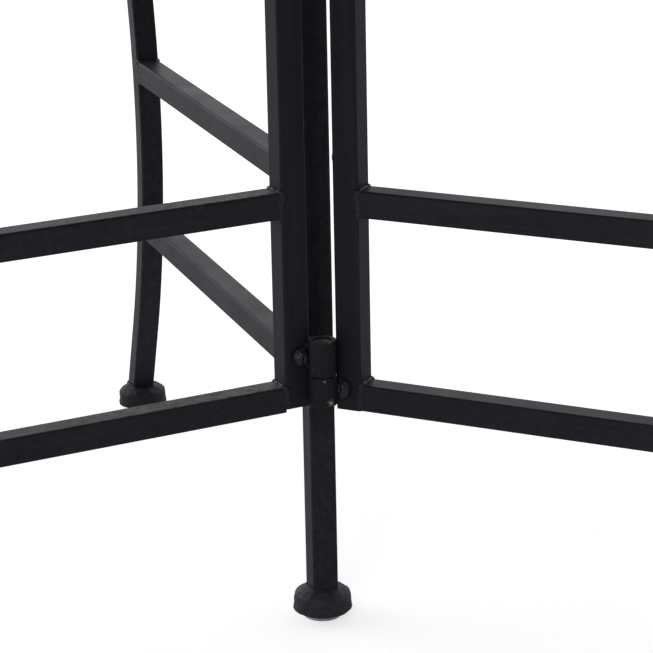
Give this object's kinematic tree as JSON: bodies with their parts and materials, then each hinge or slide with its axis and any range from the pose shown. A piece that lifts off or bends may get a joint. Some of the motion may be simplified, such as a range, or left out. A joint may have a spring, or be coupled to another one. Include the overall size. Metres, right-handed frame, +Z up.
{
  "type": "folding side table",
  "caption": "Round removable tray on a black square-tube base whose hinged panels open into a star with splayed bowed legs and fold flat.",
  "frame": {"origin": "on the floor under the centre of the round tray", "axes": "+Z up, +Y to the back of the table, +X to its right, with the front hinge towards -Y"},
  "size_m": [0.762, 0.762, 0.508],
  "materials": {
    "black_frame": "satin black powder coat with a fine orange-peel texture on welded square steel tube",
    "black_tray": "satin black powder coat on spun steel sheet",
    "black_hinge": "black powder coat, worn to bronze on the rims of the knuckles",
    "black_screws": "painted pan-head screws",
    "bare_steel": "plain oiled steel",
    "pale_plastic": "pale grey moulded polyethylene",
    "clear_plastic": "light grey soft plastic dot",
    "black_rubber": "matte black moulded rubber"
  },
  "bodies": {
    "left_panel": {"left_post": "black_frame", "left_leg": "black_frame", "left_lower_rail": "black_frame", "left_upper_rail": "black_frame", "left_top_rail": "black_frame", "left_foot_cup": "black_frame", "left_glide": "pale_plastic", "left_bumpers": "black_rubber", "left_post_plug": "black_rubber", "left_hinge_screws": "black_screws", "front_lower_hinge_left_leaf": "black_hinge", "front_upper_hinge_left_leaf": "black_hinge", "back_lower_hinge_left_leaf": "black_hinge", "back_upper_hinge_left_leaf": "black_hinge", "front_lower_hinge_pin": "bare_steel", "front_upper_hinge_pin": "bare_steel", "back_lower_hinge_pin": "bare_steel", "back_upper_hinge_pin": "bare_steel"},
    "right_panel": {"right_post": "black_frame", "right_leg": "black_frame", "right_lower_rail": "black_frame", "right_upper_rail": "black_frame", "right_top_rail": "black_frame", "right_foot_cup": "black_frame", "right_glide": "pale_plastic", "right_bumpers": "black_rubber", "right_post_plug": "black_rubber", "right_post_pad": "clear_plastic", "right_hinge_screws": "black_screws", "front_lower_hinge_right_leaf": "black_hinge", "front_upper_hinge_right_leaf": "black_hinge"},
    "back_panel": {"centre_leg": "black_frame", "back_leg": "black_frame", "back_lower_rail": "black_frame", "back_upper_rail": "black_frame", "back_top_rail": "black_frame", "back_foot_cup": "black_frame", "back_glide": "pale_plastic", "centre_foot_cup": "black_frame", "centre_glide": "pale_plastic", "back_bumpers": "black_rubber", "back_hinge_screws": "black_screws", "back_lower_hinge_back_leaf": "black_hinge", "back_upper_hinge_back_leaf": "black_hinge"},
    "tray": {"tray_pan": "black_tray", "tray_rim_wire": "bare_steel"}
  },
  "joints": [
    {"name": "right_fold", "type": "hinge", "parent": "left_panel", "child": "right_panel", "pos_m": [0.0003, -0.0175, 0.2], "axis": [0, 0, -1], "range_deg": [-20, 123.4]},
    {"name": "back_fold", "type": "hinge", "parent": "left_panel", "child": "back_panel", "pos_m": [-0.01034, 0.00402, 0.2], "axis": [0, 0, 1], "range_deg": [-20, 98]},
    {"name": "tray_lift", "type": "slide", "parent": "left_panel", "child": "tray", "axis": [0, 0, 1], "range_m": [0, 0.25]}
  ]
}
